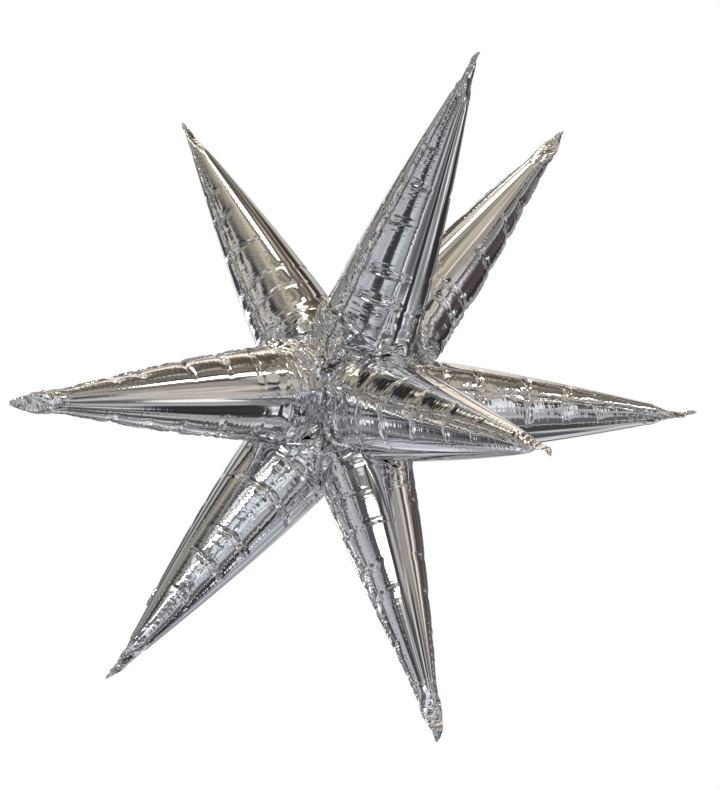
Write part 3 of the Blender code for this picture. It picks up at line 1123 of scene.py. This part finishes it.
# %% Clutter on the walls
def clutter(colours, count, low, high, seed):
    """Multiplies the room by flat cells of tone, each the nearest of a number of random places."""
    chance = np.random.default_rng(seed)
    places = unit(chance.normal(size=(count, 3)))
    tones = chance.uniform(low, high, count)
    nearest = np.zeros(len(room_ways), int)
    best = np.full(len(room_ways), np.inf)
    for number, place in enumerate(places):
        far = np.abs(room_ways - place).max(axis=1)
        closer = far < best
        nearest[closer] = number
        best[closer] = far[closer]
    return colours * tones[nearest][:, None]


# number of cells, darkest and lightest tone, seed
LARGE_CELLS = (90, 0.8, 1.2, 3)
SMALL_CELLS = (420, 0.6, 1.4, 4)
FAINT_CELLS = (420, 0.84, 1.16, 4)
CLOUD_STRENGTH = 0.05


def room_cloud():
    """Soft random tones, coarse and fine, which join up all round the room."""
    coarse = soft_noise(room_azimuth / 9, room_elevation / 7, 5, 360 // 9)
    fine = soft_noise(room_azimuth / 3, room_elevation / 4, 6, 360 // 3)
    return (coarse + 0.5 * fine).reshape(-1, 1)


wall_heights = [height for height, _ in WALLS]
wall_colours = np.array([linear(code)[:3] for _, code in WALLS])
colours = np.stack(
    [np.interp(room_elevation.ravel(), wall_heights, part) for part in wall_colours.T], axis=-1
)
colours = clutter(colours, *LARGE_CELLS)
colours = clutter(colours, *SMALL_CELLS)
for patch in ROOM:
    colours = paint(colours, *patch)
colours = clutter(colours, *FAINT_CELLS)
colours = colours * (1 + CLOUD_STRENGTH * room_cloud())
print("painted tones:", np.round(np.percentile(colours, (5, 50, 95)), 2))

# %% [markdown]
# The codes above are tones as a screen shows them. A real room's lamps and windows are many times
# brighter than its walls, so a power curve spreads the tones, a little haze keeps the darkest from
# going black, and part of the colour is taken out.

# %% From painted tones to light
ROOM_SPREAD = 2.5
ROOM_LIGHT = 8.6
ROOM_HAZE = 0.02
ROOM_TINT = 0.55
colours = ROOM_HAZE + ROOM_LIGHT * np.clip(colours, 0, None) ** ROOM_SPREAD
grey = colours.mean(axis=1, keepdims=True)
colours = grey + ROOM_TINT * (colours - grey)
print("room light:", np.round(np.percentile(colours, (5, 50, 95)), 2))

# %% [markdown]
# ## Backdrop, floor and camera
#
# The balloon hangs free before plain white, which is the world's own colour. The room stands before
# it for reflections alone, so the camera sees the white, and the film the room. The floor lies well
# below and is as pale, so that its edge hardly shows.

# %% The room, the floor and the white
FLOOR_RADIUS = 6.0
FLOOR_DOWN = 3.0
RIM_POINTS = 96


def stage_thing(name, mesh, location, material):
    thing = bpy.data.objects.new(name, mesh)
    thing.location = location
    mesh.materials.append(material)
    bpy.context.collection.objects.link(thing)
    return thing


room_mesh = bpy.data.meshes.new("room")
room_faces = grid_faces(ROOM_ROWS, ROOM_COLUMNS, closed=True)
room_mesh.from_pydata((room_ways * ROOM_RADIUS).tolist(), [], room_faces.tolist())
room_mesh.polygons.foreach_set("use_smooth", np.ones(len(room_faces), bool))
painted = room_mesh.color_attributes.new("room", "FLOAT_COLOR", "POINT")
with_alpha = np.hstack([colours, np.ones((len(colours), 1))]).astype(np.float32)
painted.data.foreach_set("color", with_alpha.ravel())
walls, tree, shader = new_material("painted room")
shader.inputs["Base Color"].default_value = (0, 0, 0, 1)
shader.inputs["Specular IOR Level"].default_value = 0.0
shader.inputs["Emission Strength"].default_value = 1.0
walls.cycles.emission_sampling = "NONE"
room_colour = add(tree, "ShaderNodeVertexColor", layer_name="room")
tree.links.new(room_colour.outputs["Color"], shader.inputs["Emission Color"])
room = stage_thing("room", room_mesh, (0, 0, 0), walls)
for kind in ("camera", "diffuse", "transmission", "volume_scatter", "shadow"):
    setattr(room, "visible_" + kind, False)

floor_paint, tree, shader = new_material("pale floor")
shader.inputs["Base Color"].default_value = linear("#fbfbfa")
shader.inputs["Roughness"].default_value = 0.9
floor_mesh = bpy.data.meshes.new("floor")
rim_angles = np.linspace(0, 2 * math.pi, RIM_POINTS + 1)[:-1]
rim = [(FLOOR_RADIUS * math.cos(a), FLOOR_RADIUS * math.sin(a), 0) for a in rim_angles]
floor_mesh.from_pydata(rim, [], [list(range(len(rim)))])
floor = stage_thing("floor", floor_mesh, (0, 0, -FLOOR_DOWN), floor_paint)
floor.visible_glossy = False

world = bpy.data.worlds.new("white studio")
bpy.context.scene.world = world
world.use_nodes = True
white = world.node_tree.nodes["Background"]
white.inputs["Color"].default_value = (1, 1, 1, 1)
white.inputs["Strength"].default_value = 1.0
print("staged:", room.name, "and", floor.name)

# %% [markdown]
# The camera looks straight at the middle of the balloon from well away, so the nearest cones aren't
# drawn out. Its lens is worked out from what the picture's height takes in at the balloon.

# %% Camera
CAMERA_AWAY = 2.4
FRAME_HEIGHT = 0.79
SENSOR = 36
CAMERA_ASIDE, CAMERA_UP = 0.019, 0.002
camera = bpy.data.objects.new("camera", bpy.data.cameras.new("camera"))
bpy.context.collection.objects.link(camera)
camera.location = (CAMERA_ASIDE, -CAMERA_AWAY, CAMERA_UP)
camera.rotation_euler = (math.radians(90), 0, 0)
camera.data.lens = SENSOR * CAMERA_AWAY / FRAME_HEIGHT
bpy.context.scene.camera = camera
bpy.context.scene.view_settings.view_transform = "Standard"
print(f"lens: {camera.data.lens:.1f} mm")
